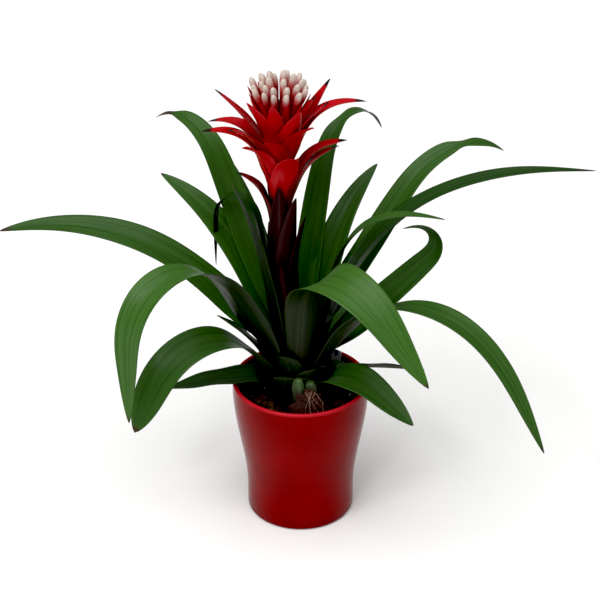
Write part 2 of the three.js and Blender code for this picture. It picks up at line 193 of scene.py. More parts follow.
lip = pot_wall / 2
pot_profile = [(0.0, 0.0), (foot_radius - 6 * MM, 0.0)]
pot_profile += arc((foot_radius - foot_rounding, foot_rounding), foot_rounding, -90, 0, 6)
pot_profile += [(pot_radius(height), height) for height in np.linspace(12 * MM, pot_height - 5 * MM, 34)]
pot_profile += arc((rim_radius - lip, pot_height - lip), lip, 0, 180, 12)
pot_profile += [(pot_radius(height) - pot_wall, height) for height in np.linspace(138 * MM, 16 * MM, 18)]
inner_corner = (foot_radius - pot_wall - inner_rounding, pot_floor + inner_rounding)
pot_profile += arc(inner_corner, inner_rounding, 0, -90, 5)
pot_profile += [(20 * MM, pot_floor), (0.0, pot_floor)]
cover_pot = turned("cover_pot", pot_profile, 128)

glaze, tree, shader = finish_material(
    "red_glaze", Roughness=0.25, Coat_Weight=0.3, Coat_Roughness=0.04, Coat_IOR=1.3, IOR=1.12
)
place = own_place(tree)
pooling = noise_on(tree, place, 22.0, 3.0)
body = ramp(tree, pooling, (0.3, (0.17, 0.0003, 0.0006)), (0.7, (0.21, 0.0004, 0.0012)))
height = height_in(tree, place)
# the glaze breaks thinner and lighter over the lip, partly a painted highlight, and pools darker above the
# foot
thin_glaze_and_painted_highlight = between(tree, height, pot_height - 3.4 * MM, pot_height - 0.4 * MM)
pooled = between(tree, height, 14 * MM, MM, 0.55)
body = blend_colours(tree, pooled, body, (0.12, 0.0006, 0.002))
body = blend_colours(tree, thin_glaze_and_painted_highlight, body, (0.5, 0.02, 0.03))
tree.links.new(body, shader.inputs["Base Color"])
orange_peel = noise_on(tree, place, 260.0, 2.0)
slow_wave = noise_on(tree, place, 30.0, 1.0)
waves = bump(tree, shader, slow_wave, 0.0016, 0.35)
bump(tree, shader, orange_peel, 0.0002, 0.25, waves)
cover_pot.data.materials.append(glaze)
stands_for(cover_pot, "ceramic_pot")


# ---------------------------------------------------------------------------------------------
# Nursery pot. The grower's thin black pot, thermoformed from polypropylene sheet: tapered, with a
# stiffening band under its rim and drain holes in its floor. It stands loose inside the cover pot.

nursery_low, nursery_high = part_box("nursery_pot")
nursery_rim = (nursery_high[0] - nursery_low[0]) / 2
nursery_floor, nursery_top = nursery_low[2], nursery_high[2]
nursery_foot = 44 * MM
nursery_wall = 1.6 * MM
rim_band = 11 * MM
band_step = 2.5 * MM
drain_holes, drain_radius, drain_circle = 6, 5 * MM, 30 * MM
drill_low, drill_high = -4 * MM, 6 * MM


def nursery_radius(height):
    share = (height - nursery_floor) / (nursery_top - nursery_floor)
    return nursery_foot + (nursery_rim - band_step - nursery_foot) * share


band_low = nursery_top - rim_band
band_shoulder = band_low + 4 * MM
curl = nursery_wall / 2
nursery_profile = [(0.0, nursery_floor), (20 * MM, nursery_floor), (nursery_foot - MM, nursery_floor)]
nursery_profile += [(nursery_foot, nursery_floor + MM)]
nursery_profile += [(nursery_radius(h), h) for h in np.linspace(nursery_floor + 4 * MM, band_low, 12)]
nursery_profile += [(nursery_rim - 0.6 * MM, band_low + 1.5 * MM)]
nursery_profile += [(nursery_rim - 0.3 * MM, band_shoulder)]
nursery_profile += arc((nursery_rim - curl, nursery_top - curl), curl, 0, 180, 6)
nursery_profile += [(nursery_rim - 2 * MM, band_shoulder)]
nursery_profile += [(nursery_radius(band_low) - nursery_wall, band_low)]
inside = np.linspace(band_low - 10 * MM, nursery_floor + 4 * MM, 10)
nursery_profile += [(nursery_radius(h) - nursery_wall, h) for h in inside]
nursery_profile += [(30 * MM, nursery_floor + nursery_wall), (0.0, nursery_floor + nursery_wall)]
nursery_pot = turned("grower_pot", nursery_profile, 96)

drills = []
for hole in range(drain_holes):
    turn = 2 * math.pi * hole / drain_holes
    outline = [(0, drill_low), (drain_radius, drill_low), (drain_radius, drill_high), (0, drill_high)]
    drill = turned("drill", outline, 20)
    centre = (drain_circle * math.cos(turn), drain_circle * math.sin(turn), nursery_floor)
    drill.data.transform(Matrix.Translation(centre))
    drills.append(drill)
    cut = nursery_pot.modifiers.new("drain", "BOOLEAN")
    cut.object = drill
    cut.operation = "DIFFERENCE"


def made_plain(thing):
    """Turns what the modifiers make into the object's own plain mesh."""
    shown = thing.evaluated_get(bpy.context.evaluated_depsgraph_get())
    mesh = bpy.data.meshes.new_from_object(shown)
    thing.modifiers.clear()
    thing.data = mesh
    return thing


made_plain(nursery_pot)
for drill in drills:
    bpy.data.objects.remove(drill)


def grey(tree, factor, *stops):
    return ramp(tree, factor, *[(place, (value,) * 3) for place, value in stops])


def fibre_noise(tree, where, along, grain, detail):
    """Noise drawn out along Z, for fibres, ribs and streaks."""
    drawn = add(tree, "ShaderNodeMapping", {"Vector": where, "Scale": (1.0, 1.0, along)})
    return noise_on(tree, drawn.outputs["Vector"], grain, detail)


black_plastic, tree, shader = finish_material("black_plastic", Roughness=0.5, IOR=1.46)
place = own_place(tree)
streaks = fibre_noise(tree, place, 0.12, 160.0, 4.0)
body = ramp(tree, streaks, (0.35, (0.012, 0.012, 0.013)), (0.75, (0.05, 0.045, 0.04)))
tree.links.new(body, shader.inputs["Base Color"])
tree.links.new(grey(tree, streaks, (0.3, 0.38), (0.8, 0.68)), shader.inputs["Roughness"])
bump(tree, shader, streaks, 0.0004, 0.3)
nursery_pot.data.materials.clear()
nursery_pot.data.materials.append(black_plastic)
stands_for(nursery_pot, "nursery_pot")


# ---------------------------------------------------------------------------------------------
# Potting mix. Damp peat and composted bark pressed round the root ball, with pine chips, fine
# crumbs and a few white grains of perlite lying loose on its uneven top.

soil_low, soil_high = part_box("potting_mix")
soil_radius = (soil_high[0] - soil_low[0]) / 2
soil_top = soil_high[2]
soil_shoulder, soil_bed = 118 * MM, soil_top - 1.2 * MM
soil_slack = 2.3 * MM

soil_profile = [(0.0, soil_low[2]), (20 * MM, soil_low[2]), (nursery_foot - 3 * MM, soil_low[2])]
soil_side = np.linspace(soil_low[2] + 4 * MM, soil_shoulder, 8)
soil_profile += [(nursery_radius(h) - soil_slack, h) for h in soil_side]
soil_profile += [(r, soil_bed) for r in np.linspace(soil_radius - 0.3 * MM, MM, 44)]
soil_profile += [(0.0, soil_bed)]
soil = turned("damp_mix", soil_profile, 120)


def new_tree(name, **sizes):
    """A geometry tree with a Geometry input and named inputs, given as name=kind."""
    tree = bpy.data.node_groups.new(name, "GeometryNodeTree")
    tree.interface.new_socket("Geometry", in_out="INPUT", socket_type="NodeSocketGeometry")
    tree.interface.new_socket("Geometry", in_out="OUTPUT", socket_type="NodeSocketGeometry")
    for key, kind in sizes.items():
        tree.interface.new_socket(key.replace("_", " "), in_out="INPUT", socket_type="NodeSocket" + kind)
    return tree, tree.nodes.new("NodeGroupInput").outputs, tree.nodes.new("NodeGroupOutput").inputs


def grown(thing, tree, **sizes):
    """Runs a geometry tree on the object with these sizes, and keeps what it makes as its mesh."""
    modifier = thing.modifiers.new(tree.name, "NODES")
    modifier.node_group = tree
    sockets = {item.name: item.identifier for item in tree.interface.items_tree if item.in_out == "INPUT"}
    for key, value in sizes.items():
        modifier[sockets[key.replace("_", " ")]] = value
    return made_plain(thing)


def maths(tree, way, first, second):
    return add(tree, "ShaderNodeMath", {0: first, 1: second}, operation=way).outputs[0]


def coated(tree, geometry, stuff, **which):
    sockets = {"Geometry": geometry, "Material": stuff, **which}
    return add(tree, "GeometryNodeSetMaterial", sockets).outputs["Geometry"]


def finish_tree(tree, geometry, stuff, outputs):
    """Ends a tree: real geometry, coated with its material."""
    real = add(tree, "GeometryNodeRealizeInstances", {"Geometry": geometry}).outputs["Geometry"]
    tree.links.new(coated(tree, real, stuff), outputs["Geometry"])


def lumpy_top():
    """Raises the flat top of the mix into crumbs and hollows."""
    tree, inputs, outputs = new_tree(
        "mix_surface", Top="Float", Roughness="Float", Grain="Float", Stuff="Material"
    )
    where = add(tree, "GeometryNodeInputPosition").outputs["Position"]
    height = height_in(tree, where)
    on_top = add(tree, "FunctionNodeCompare", {"A": height, "B": inputs["Top"]}, operation="GREATER_THAN")
    both = maths(
        tree, "ADD", noise_on(tree, where, inputs["Grain"], 5.0), noise_on(tree, where, 60.0, 2.0)
    )
    centred = maths(tree, "ADD", both, -1.0)
    lift = maths(tree, "MULTIPLY", centred, inputs["Roughness"])
    offset = add(tree, "ShaderNodeCombineXYZ", {"Z": lift}).outputs["Vector"]
    moved = add(
        tree,
        "GeometryNodeSetPosition",
        {"Geometry": inputs["Geometry"], "Selection": on_top.outputs["Result"], "Offset": offset},
    )
    finish_tree(tree, moved.outputs["Geometry"], inputs["Stuff"], outputs)
    return tree


def chip_shape(name, length, width, thick, seed):
    """One irregular chip: a split, rounded block with knocked-in corners."""
    draw = np.random.default_rng(seed)
    bit = turned(name, [(0, -0.5), (0.3, -0.45), (0.5, 0.0), (0.32, 0.42), (0, 0.5)], 6)
    for vertex in bit.data.vertices:
        knock = 1 + draw.uniform(-0.28, 0.28)
        vertex.co = Vector(
            (vertex.co.x * width * 2 * knock, vertex.co.y * thick * 2 * knock, vertex.co.z * length)
        )
    bit.data.polygons.foreach_set("use_smooth", [False] * len(bit.data.polygons))
    return bit


def at_random(tree, least, most, seed, **more):
    limits = {2: least, 3: most, "Seed": seed, **more}
    return add(tree, "FunctionNodeRandomValue", limits, data_type="FLOAT").outputs[1]


def set_out(tree, points, shape, turn, size):
    """Instances of another object's shape on points, turned and sized."""
    thing = add(tree, "GeometryNodeObjectInfo", {"Object": shape}, transform_space="ORIGINAL")
    sockets = {"Points": points, "Instance": thing.outputs["Geometry"], "Rotation": turn, "Scale": size}
    return add(tree, "GeometryNodeInstanceOnPoints", sockets).outputs["Instances"]


def scatter():
    """Drops chips on the faces of the mix near its top, each turned and sized at random."""
    tree, inputs, outputs = new_tree(
        "loose_bits", Chip="Object", Density="Float", Smallest="Float", Largest="Float", Seed="Int",
        Stuff="Material", Lift="Float", Above="Float",
    )
    where = add(tree, "GeometryNodeInputPosition").outputs["Position"]
    height = height_in(tree, where)
    top = add(tree, "FunctionNodeCompare", {"A": height, "B": inputs["Above"]}, operation="GREATER_THAN")
    spots = add(
        tree,
        "GeometryNodeDistributePointsOnFaces",
        {
            "Mesh": inputs["Geometry"],
            "Selection": top.outputs["Result"],
            "Density": inputs["Density"],
            "Seed": inputs["Seed"],
        },
    )
    turn = add(
        tree,
        "FunctionNodeRandomValue",
        {0: (0.9, -0.5, 0.0), 1: (2.2, 0.5, 6.28), "Seed": inputs["Seed"]},
        data_type="FLOAT_VECTOR",
    )
    size = at_random(tree, inputs["Smallest"], inputs["Largest"], inputs["Seed"])
    lifted = add(tree, "ShaderNodeCombineXYZ", {"Z": inputs["Lift"]}).outputs["Vector"]
    raised = add(tree, "GeometryNodeSetPosition", {"Geometry": spots.outputs["Points"], "Offset": lifted})
    placed = set_out(tree, raised.outputs["Geometry"], inputs["Chip"], turn.outputs[0], size)
    finish_tree(tree, placed, inputs["Stuff"], outputs)
    return tree


def crumb_material(name, dark, pale, grain, roughness):
    material, tree, shader = finish_material(name, Roughness=roughness, IOR=1.4)
    place = own_place(tree)
    spots = noise_on(tree, place, grain, 6.0)
    tree.links.new(ramp(tree, spots, (0.35, dark), (0.68, pale)), shader.inputs["Base Color"])
    bump(tree, shader, spots, 0.0012, 0.8)
    return material


damp_mix = crumb_material("damp_mix", (0.006, 0.004, 0.003), (0.035, 0.021, 0.014), 420.0, 0.9)
pine_bark = crumb_material("pine_bark", (0.022, 0.009, 0.005), (0.11, 0.05, 0.028), 260.0, 0.8)
perlite = crumb_material("perlite", (0.45, 0.42, 0.38), (0.8, 0.78, 0.74), 500.0, 0.75)
grown(soil, lumpy_top(), Top=soil_top - 2 * MM, Roughness=7 * MM, Grain=210.0, Stuff=damp_mix)

bits_above = 119.5 * MM
scatter_tree = scatter()
for name, size, stuff, density, spread, seed, lift in (
    ("crumbs", (3.2, 2.6, 2.2), damp_mix, 90000.0, (0.5, 1.3), 11, 0.5),
    ("bark_chips", (9.0, 4.5, 2.2), pine_bark, 17000.0, (0.5, 1.15), 23, 1.2),
    ("perlite_grains", (2.4, 2.2, 2.0), perlite, 1900.0, (0.5, 1.1), 31, 1.4),
):
    chip = chip_shape(name + "_bit", *[side * MM for side in size], seed)
    bed = bpy.data.objects.new(name, soil.data.copy())
    bpy.context.scene.collection.objects.link(bed)
    grown(
        bed, scatter_tree, Chip=chip, Density=density, Smallest=spread[0], Largest=spread[1], Seed=seed,
        Stuff=stuff, Lift=lift * MM, Above=bits_above,
    )
    bpy.data.objects.remove(chip)
    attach(bed, "root")
stands_for(soil, "potting_mix")


# ---------------------------------------------------------------------------------------------
# Care tag. A white polypropylene plant tag, die-cut with round corners and printed with a plain
# blue leaf mark. It is pushed down between the two pots, so only its end shows.

tag_turn = math.radians(54)
tag_lean = math.radians(4.9)
tag_width = 12 * MM
tag_height = 44 * MM
tag_thick = 0.8 * MM
tag_corner = 2.4 * MM
tag_reach, tag_foot = 58.8 * MM, 107 * MM


def tag_outline():
    """The tag's face, from its low corner round, with both top corners rounded."""
    half = tag_width / 2
    outline = [(-half, 0.0), (half, 0.0)]
    outline += arc((half - tag_corner, tag_height - tag_corner), tag_corner, 0, 90, 6)
    outline += arc((tag_corner - half, tag_height - tag_corner), tag_corner, 90, 180, 6)
    return outline


outline = tag_outline()
tag_points = [(-tag_thick / 2, y, z) for y, z in outline] + [(tag_thick / 2, y, z) for y, z in outline]
count = len(outline)
tag_faces = [tuple(range(count - 1, -1, -1)), tuple(range(count, 2 * count))]
tag_faces += [(i, (i + 1) % count, count + (i + 1) % count, count + i) for i in range(count)]
tag = joined_mesh("plant_tag", tag_points, tag_faces, smooth=False)
tag_place = Matrix.Rotation(tag_turn, 4, "Z") @ Matrix.Translation((tag_reach, 0, tag_foot))
tag_place = tag_place @ Matrix.Rotation(tag_lean, 4, "Y")
tag.data.transform(tag_place)
uv = tag.data.uv_layers.new(name="tag_face")
back = tag_place.inverted()
for loop in tag.data.loops:
    spot = back @ tag.data.vertices[loop.vertex_index].co
    uv.data[loop.index].uv = (spot.y / tag_width, (spot.z - tag_height) / tag_width)

tag_print, tree, shader = finish_material("tag_print", Roughness=0.35, Coat_Weight=0.2)
face = add(tree, "ShaderNodeUVMap", uv_map="tag_face").outputs["UV"]
spread = {"Vector": face, "Location": (0.0, 0.52, 0.0), "Scale": (3.2, 2.1, 1.0)}
mark = add(tree, "ShaderNodeMapping", spread)
leaf_mark = add(tree, "ShaderNodeTexGradient", {"Vector": mark.outputs["Vector"]}, gradient_type="SPHERICAL")
flecks = noise_on(tree, face, 24.0, 3.0)
paper = ramp(tree, flecks, (0.4, (0.68, 0.7, 0.74)), (0.7, (0.82, 0.84, 0.87)))
inked = grey(tree, leaf_mark.outputs["Fac"], (0.28, 0.0), (0.34, 1.0))
tree.links.new(blend_colours(tree, inked, paper, (0.12, 0.22, 0.42)), shader.inputs["Base Color"])
bump(tree, shader, flecks, 0.0001, 0.2)
tag.data.materials.append(tag_print)
stands_for(tag, "care_tag")


# ---------------------------------------------------------------------------------------------
# Crown. The short, woody stem of the plant, rooted in the mix. Its outside is ridged with the
# scars and stubs of old leaf sheaths, green-brown above and dark and corky where it meets the mix.

axis_x = -4 * MM
tier_radius, tier_radius_step = 30 * MM, 2.2 * MM
tier_height, tier_height_step = 136 * MM, 4.5 * MM
crown_low, crown_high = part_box("crown_stem")
crown_core, crown_neck, crown_swell, crown_shoulder = 6 * MM, 14 * MM, 10.5 * MM, 26.8 * MM
sheath_gap = 2.2 * MM
ridge_height = 0.8 * MM

crown_profile = [(0.0, crown_low[2]), (crown_core, crown_low[2])]
crown_profile += [(crown_neck, crown_low[2] + MM), (crown_neck + 0.5 * MM, soil_top - MM)]
crown_profile += [
    (crown_neck + 4.5 * MM + crown_swell * math.sin(t), soil_top + 8 * MM * t)
    for t in np.linspace(0.05, 1.0, 10)
]
crown_profile += [(crown_shoulder, tier_height), (crown_shoulder - 0.6 * MM, tier_height + 2 * MM)]
crown_profile += [
    (tier_radius - sheath_gap - (h - tier_height) * tier_radius_step / tier_height_step, h)
    for h in np.linspace(tier_height + 4 * MM, crown_high[2] - MM, 14)
]
crown_profile += [(crown_core, crown_high[2]), (0.0, crown_high[2])]
crown = turned("crown", crown_profile, 96)
for vertex in crown.data.vertices:
    reach = math.hypot(vertex.co.x, vertex.co.y)
    if reach > 13 * MM and vertex.co.z > soil_top - 2 * MM:
        turn = math.atan2(vertex.co.y, vertex.co.x)
        ridge = 0.5 * math.sin(17 * turn + 120 * vertex.co.z) + 0.35 * math.sin(9 * turn - 260 * vertex.co.z)
        vertex.co.x *= 1 + ridge_height * ridge / reach
        vertex.co.y *= 1 + ridge_height * ridge / reach
    vertex.co.x += axis_x

corky, tree, shader = finish_material("corky_crown", Roughness=0.72, IOR=1.4)
place = own_place(tree)
fibres = fibre_noise(tree, place, 0.18, 380.0, 6.0)
height = height_in(tree, place)
green = between(tree, height, soil_top + MM, soil_top + 14 * MM)
bark_tone = ramp(tree, fibres, (0.35, (0.016, 0.008, 0.004)), (0.7, (0.075, 0.04, 0.02)))
green_tone = ramp(tree, fibres, (0.35, (0.014, 0.024, 0.006)), (0.7, (0.05, 0.075, 0.02)))
tree.links.new(blend_colours(tree, green, bark_tone, green_tone), shader.inputs["Base Color"])
bump(tree, shader, fibres, 0.001, 0.7)
crown.data.materials.append(corky)
stands_for(crown, "crown_stem")


# ---------------------------------------------------------------------------------------------
# Leaves. Stiff, waxy straps that grow one inside another from the crown, each with a clasping
# sheath, a shallow channel, fine lengthwise veins and a thin margin. The underside is painted much
# darker, partly its own duller green and partly painted shade, and flushed with purple-brown near
# the foot, and the tips of the older leaves are dry.

foot_rise = 82.0
# over how much of its sheath's length a blade leaves the foot, opens flat and rolls
leaving_over, opening_over = 1.6, 1.8
roll_from, roll_over = 0.6, 1.8
taper_power, tip_width = 0.8, 0.9
margin_thinning, margin_power = 0.72, 2.2
tip_thinning, tip_from = 0.6, 0.8
channel_width = 0.16


def frames_along(blade, rows):
    """The blade's midline and its three directions at each row, from the foot to the tip."""
    s = np.linspace(0, 1, rows + 1)

    def angles(at):
        sheaths_up = at * blade["length"] / blade["sheath"]
        leaving = ease(sheaths_up / leaving_over)
        bending = ease((at - (blade["at"] - blade["over"] / 2)) / blade["over"])
        rise = foot_rise + (blade["rise"] - foot_rise) * leaving - blade["droop"] * bending
        heading = blade["turn"] + blade["sway"] * ease((at - 0.1) / 0.9)
        roll = blade["roll"] * ease((sheaths_up - roll_from) / roll_over) + blade["twist"] * bending
        return np.radians(rise), np.radians(heading), np.radians(roll)

    def forwards(at):
        rise, heading, _ = angles(at)
        flat = np.cos(rise)
        return np.stack([flat * np.cos(heading), flat * np.sin(heading), np.sin(rise)], 1)

    steps = forwards((s[1:] + s[:-1]) / 2) * blade["length"] * MM / rows
    foot = math.radians(blade["turn"])
    start = np.array([blade["x"], 0.0, blade["height"]]) * MM
    start += np.array([math.cos(foot), math.sin(foot), 0.0]) * blade["radius"] * MM
    midline = start + np.vstack([np.zeros(3), np.cumsum(steps, 0)])
    _, heading, roll = angles(s)
    forward = forwards(s)
    level = np.stack([-np.sin(heading), np.cos(heading), np.zeros_like(heading)], 1)
    upright = np.cross(forward, level)
    side = level * np.cos(roll)[:, None] + upright * np.sin(roll)[:, None]
    return s, midline, side, np.cross(forward, side)


def blade_piece(name, blade, rows=84, across=15):
    """A leaf or bract as one closed, cupped strip, with attributes that its material reads."""
    s, midline, side, face = frames_along(blade, rows)
    clasp = math.radians(blade["clasp"])
    opening = ease(s * blade["length"] / (opening_over * blade["sheath"]))
    foot_width = 2 * blade["radius"] * clasp
    taper = np.maximum(1 - s ** blade["taper"], 0) ** taper_power
    width = (foot_width + (blade["width"] - foot_width) * opening) * taper + tip_width
    for centre, over, share in blade["waists"]:
        width = width * (1 - share * np.exp(-(((s - centre) / over) ** 2)))
    span = clasp + (math.radians(blade["cup"]) - clasp) * opening
    curve = width / 2 / span * MM
    tip = 1 - tip_thinning * ease((s - tip_from) / (1 - tip_from))
    points, along, over_width, under = [], [], [], []
    for point in range(2 * across):
        lower = point >= across
        x = -1 + 2 * (2 * across - 1 - point if lower else point) / (across - 1)
        half = blade["thick"] * MM / 2 * (1 - margin_thinning * abs(x) ** margin_power) * tip
        half[0] = blade["thick"] * MM / 2
        angle = span * x
        radius = curve + (half if lower else -half)
        channel = blade["channel"] * MM * np.exp(-((x / channel_width) ** 2)) * opening * (1 - s**6)
        waves = np.sin(2 * math.pi * (blade["waves"] * s + (0.31 if x > 0 else 0.0)) + blade["turn"])
        ripple = blade["ripple"] * MM * waves * abs(x) ** 3 * opening * (1 - s**4)
        out = curve - radius * np.cos(angle) - channel + ripple
        points.append(midline + face * out[:, None] + side * (radius * np.sin(angle))[:, None])
        along.append(s)
        over_width.append(np.full_like(s, x))
        under.append(np.full_like(s, 1.0 if lower else 0.0))
    ring = 2 * across
    points = np.stack(points, 1).reshape(-1, 3)
    faces = []
    for row in range(rows):
        for point in range(ring):
            a, b = row * ring + point, row * ring + (point + 1) % ring
            faces.append((a, a + ring, b + ring, b))
    end = rows * ring
    for step in range(across - 1):
        a, b, c, d = step, step + 1, ring - 2 - step, ring - 1 - step
        faces.append((a, b, c, d))
        faces.append((end + d, end + c, end + b, end + a))
    if blade["on_stalk"]:
        points = up_the_stalk(points)
    piece = joined_mesh(name, points, faces)
    columns = {
        "along": np.stack(along, 1).ravel(),
        "across": np.stack(over_width, 1).ravel(),
        "under": np.stack(under, 1).ravel(),
    }
    columns["dry"] = ease((columns["along"] - blade["dry"]) / (1.02 - blade["dry"]))
    columns["tone"] = np.full(len(points), blade["tone"])
    for key, values in columns.items():
        piece.data.attributes.new(key, "FLOAT", "POINT").data.foreach_set("value", values)
    uv = piece.data.uv_layers.new(name="strap")
    where = np.empty(len(piece.data.loops), dtype=np.int32)
    piece.data.loops.foreach_get("vertex_index", where)
    length = blade["length"] * MM
    half_width = blade["width"] * MM / 2
    pairs = np.stack([columns["across"][where] * half_width, columns["along"][where] * length], 1)
    uv.data.foreach_set("uv", pairs.ravel())
    return piece


LEAF = {
    "x": -4, "thick": 1.3, "clasp": 42, "cup": 22, "taper": 3.2, "sway": 0, "roll": 0, "twist": 0,
    "on_stalk": False, "channel": 0.7, "ripple": 0.7, "waves": 2.6, "waists": (), "dry": 0.975, "tone": 0.5,
}


def leaf(name, turn, tier, length, width, **bend):
    radius = (tier_radius - tier_radius_step * tier) / MM
    height = (tier_height + tier_height_step * tier) / MM
    sizes = {"radius": radius, "height": height, "sheath": 30 + 3 * tier}
    return name, {**LEAF, **sizes, "turn": turn, "length": length, "width": width, **bend}


# heading, tier, length and width in degrees and millimetres, then how each leaf rises and bends
LEAVES = [
    leaf("leaf_low_left", 185, 0, 110, 34, rise=0, droop=10, at=0.45, over=0.8, sheath=19, tone=0.12),
    leaf("leaf_low_front", 325, 0, 135, 36, rise=28, droop=57, at=0.45, over=0.6, roll=20, tone=0.4),
    leaf("leaf_low_back", 60, 0, 165, 30, rise=20, droop=45, at=0.5, over=0.8, tone=0.3),
    leaf("leaf_edge_right", 3, 1, 112, 22, rise=4, droop=12, at=0.5, over=0.8, sheath=20, roll=-38,
         tone=0.2),
    leaf("leaf_low_back_left", 120, 1, 160, 30, rise=25, droop=50, at=0.5, over=0.8, tone=0.25),
    leaf("leaf_arch_left", 208, 1, 232, 38, rise=56, droop=120, at=0.51, over=0.75, roll=10, twist=-50,
         taper=8, tone=0.4, dry=0.96),
    leaf("leaf_arch_right", 330, 2, 365, 31, rise=61, droop=122, at=0.5, over=0.8, roll=-25, twist=45,
         tone=0.5, dry=0.965),
    leaf("leaf_short_left", 197, 2, 108, 24, rise=62, droop=22, at=0.6, over=0.8, tone=0.15),
    leaf("leaf_back", 90, 2, 180, 28, rise=40, droop=60, at=0.5, over=0.8, tone=0.3),
    leaf("leaf_curl_right", 0, 3, 236, 30, rise=46, droop=-155, at=0.86, over=0.3, roll=50, tone=0.3),
    leaf("leaf_fold_left", 211, 3, 372, 38, rise=63, droop=152, at=0.56, over=0.55, roll=30, twist=-75,
         tone=0.75),
    leaf("leaf_back_left", 120, 3, 215, 24, rise=66, droop=20, at=0.6, over=0.8, tone=0.3),
    leaf("leaf_far_left", 174, 4, 342, 35, rise=48, droop=66, at=0.65, over=0.9, roll=-25, tone=0.4,
         dry=0.95),
    leaf("leaf_fold_front", 285, 4, 310, 50, rise=80, droop=132, at=0.54, over=0.6, sway=52, twist=35,
         sheath=85, tone=0.8),
    leaf("leaf_far_right", 5, 4, 390, 29, rise=75, droop=79, at=0.53, over=0.9, roll=6, taper=2.2, tone=0.1,
         dry=0.93),
    leaf("leaf_up_left", 150, 5, 237, 38, rise=69, droop=51, at=0.65, over=1, roll=-20, tone=0.55),
    leaf("leaf_mid_right", 345, 5, 260, 24, rise=80, droop=84, at=0.7, over=0.6, tone=0.6),
    leaf("leaf_twist_right", 22, 6, 324, 31, rise=56, droop=118, at=0.87, over=0.6, roll=22, tone=0.5,
         waists=((0.85, 0.035, 0.5),)),
    leaf("leaf_dark_left", 208, 6, 222, 28, rise=81, droop=14, at=0.7, over=0.8, tone=0.1),
    leaf("leaf_tall_left", 140, 7, 308, 35, rise=62, droop=112, at=0.87, over=0.44, roll=-15, tone=0.55,
         waists=((0.92, 0.03, 0.5),), dry=0.88),
    leaf("leaf_up_right", 40, 7, 212, 34, rise=72, droop=45, at=0.8, over=0.8, roll=20, tone=0.3),
    leaf("leaf_tall_right", 72, 8, 308, 29, rise=71, droop=132, at=0.82, over=0.4, sway=-30, tone=0.5,
         waists=((0.79, 0.04, 0.35),), dry=0.9),
    leaf("leaf_hang_left", 155, 8, 272, 16, rise=77, droop=165, at=0.67, over=0.3, tone=0.1),
]


def attribute(tree, name):
    return add(tree, "ShaderNodeAttribute", attribute_name=name).outputs["Fac"]


def strap_pattern(tree, across_scale, along_scale, detail=3.0):
    """Noise drawn out along the blade, for veins and streaks."""
    strap = add(tree, "ShaderNodeUVMap", uv_map="strap").outputs["UV"]
    drawn = add(tree, "ShaderNodeMapping", {"Vector": strap, "Scale": (across_scale, along_scale, 1.0)})
    return noise_on(tree, drawn.outputs["Vector"], 1.0, detail)


waxy_leaf, tree, shader = finish_material(
    "waxy_leaf", Roughness=0.42, IOR=1.28, Coat_Weight=0.06, Coat_Roughness=0.25
)
veins = strap_pattern(tree, 1500.0, 14.0, 2.0)
streaks = strap_pattern(tree, 260.0, 5.0, 4.0)
blotches = strap_pattern(tree, 45.0, 16.0, 3.0)
deep = blend_colours(tree, attribute(tree, "tone"), (0.003, 0.020, 0.002), (0.030, 0.100, 0.012))
pale = blend_colours(tree, attribute(tree, "tone"), (0.010, 0.042, 0.005), (0.070, 0.175, 0.028))
upper = blend_colours(tree, grey(tree, streaks, (0.35, 0.0), (0.7, 1.0)), deep, pale)
upper = blend_colours(tree, grey(tree, veins, (0.4, 0.0), (0.62, 0.2)), upper, (0.070, 0.145, 0.035))
upper = blend_colours(tree, grey(tree, blotches, (0.5, 0.0), (0.8, 0.35)), upper, (0.02, 0.06, 0.012))
# painted shade: the underside is painted much darker than the top, partly its own duller green
lower = ramp(tree, streaks, (0.35, (0.004, 0.009, 0.001)), (0.7, (0.013, 0.026, 0.004)))
skin = blend_colours(tree, attribute(tree, "under"), upper, lower)
# purple-brown flush that climbs from the foot, further up the underside
climb = between(tree, attribute(tree, "along"), 0.3, 0.02)
flush = maths(tree, "MULTIPLY", climb, streaks)
skin = blend_colours(tree, grey(tree, flush, (0.12, 0.0), (0.5, 0.9)), skin, (0.011, 0.008, 0.003))
# dry, papery tips, with the browning running further down between some of the veins
dryness = maths(tree, "ADD", attribute(tree, "dry"), streaks)
skin = blend_colours(tree, grey(tree, dryness, (0.6, 0.0), (0.78, 1.0)), skin, (0.045, 0.026, 0.016))
tree.links.new(skin, shader.inputs["Base Color"])
tree.links.new(grey(tree, blotches, (0.3, 0.34), (0.75, 0.55)), shader.inputs["Roughness"])
broad = bump(tree, shader, blotches, 0.0012, 0.35)
bump(tree, shader, veins, 0.0003, 0.55, broad)

for name, blade in LEAVES:
    strap = blade_piece(name + "_strap", blade)
    strap.data.materials.append(waxy_leaf)
    stands_for(strap, name)


# ---------------------------------------------------------------------------------------------
# Sheath stubs. The bases of old leaves, cut short and dried along the cut, which still clasp the
# crown between the living leaves.

# heading, tier, length, width and rise
STUBS = [
    (246, 2, 56, 42, 80),
    (300, 1, 46, 40, 76),
    (264, 0, 42, 52, 80),
    (20, 2, 44, 34, 72),
    (150, 0, 36, 34, 70),
]
for number, (turn, tier, length, width, rise) in enumerate(STUBS, 1):
    _, blade = leaf("stub", turn, tier, length, width, rise=rise, droop=10, at=0.7, over=0.6)
    blade.update(sheath=26, taper=7, dry=1.0, tone=0.0, cup=40, waves=0.8, ripple=0.6)
    blade.update(radius=blade["radius"] - 1.4, height=blade["height"] - 6)
    stub = blade_piece(f"sheath_stub_{number}", blade, rows=24)
    stub.data.materials.append(waxy_leaf)
    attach(stub, "root")


# ---------------------------------------------------------------------------------------------
# Offset shoots. Two young side shoots in front of the crown, which lean back on it: pale green
# scale leaves rolled into a blunt cone. The second is shorter and half hidden by the roots.

shoot_height, shoot_lean = 44 * MM, math.radians(7)
painted_shade_below = soil_top + 30 * MM

